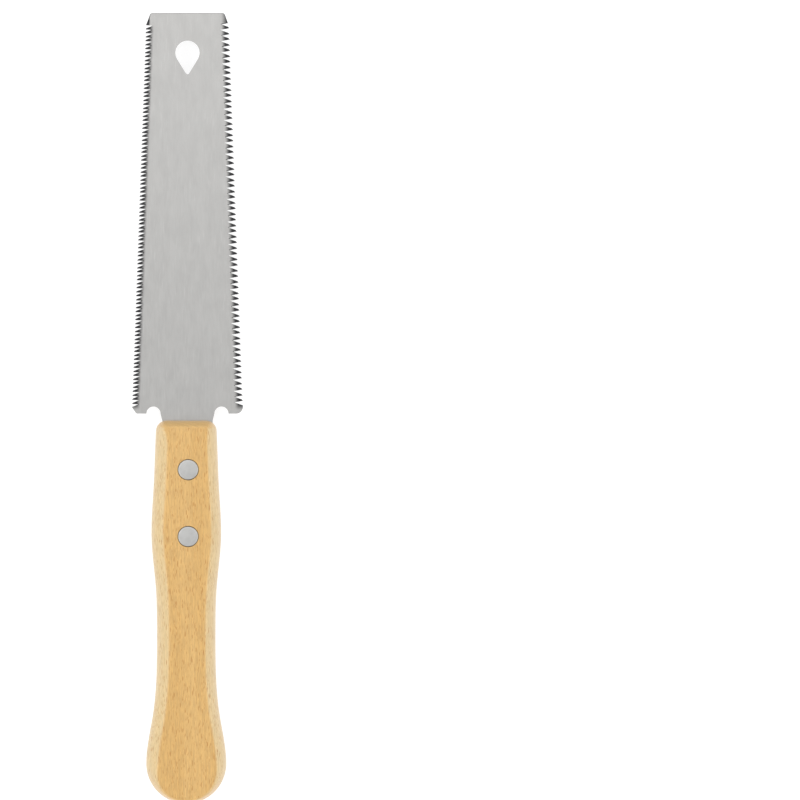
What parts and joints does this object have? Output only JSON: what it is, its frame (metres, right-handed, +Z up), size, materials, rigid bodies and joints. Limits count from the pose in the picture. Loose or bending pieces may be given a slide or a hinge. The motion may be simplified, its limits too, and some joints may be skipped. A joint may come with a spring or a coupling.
{
  "type": "double-edged pull saw",
  "caption": "Small double-edged pull saw with a thin tapered steel blade, fine and coarse teeth, a teardrop hanging hole and a riveted one-piece beech handle.",
  "frame": {"origin": "middle of the whole saw's length and width, on the plane of the handle's underside", "axes": "+Y along the blade to its tip, +X to the coarse teeth, +Z up through the blade's thickness"},
  "size_m": [0.0417, 0.2964, 0.018],
  "materials": {
    "blade_steel": "lengthwise brushed, teeth dark from hardening",
    "beech": "clear satin varnish",
    "rivet_metal": "satin"
  },
  "bodies": {
    "root": {"blade": "blade_steel", "handle": "beech", "front_rivet_male": "rivet_metal", "front_rivet_female": "rivet_metal", "rear_rivet_male": "rivet_metal", "rear_rivet_female": "rivet_metal"}
  },
  "joints": []
}
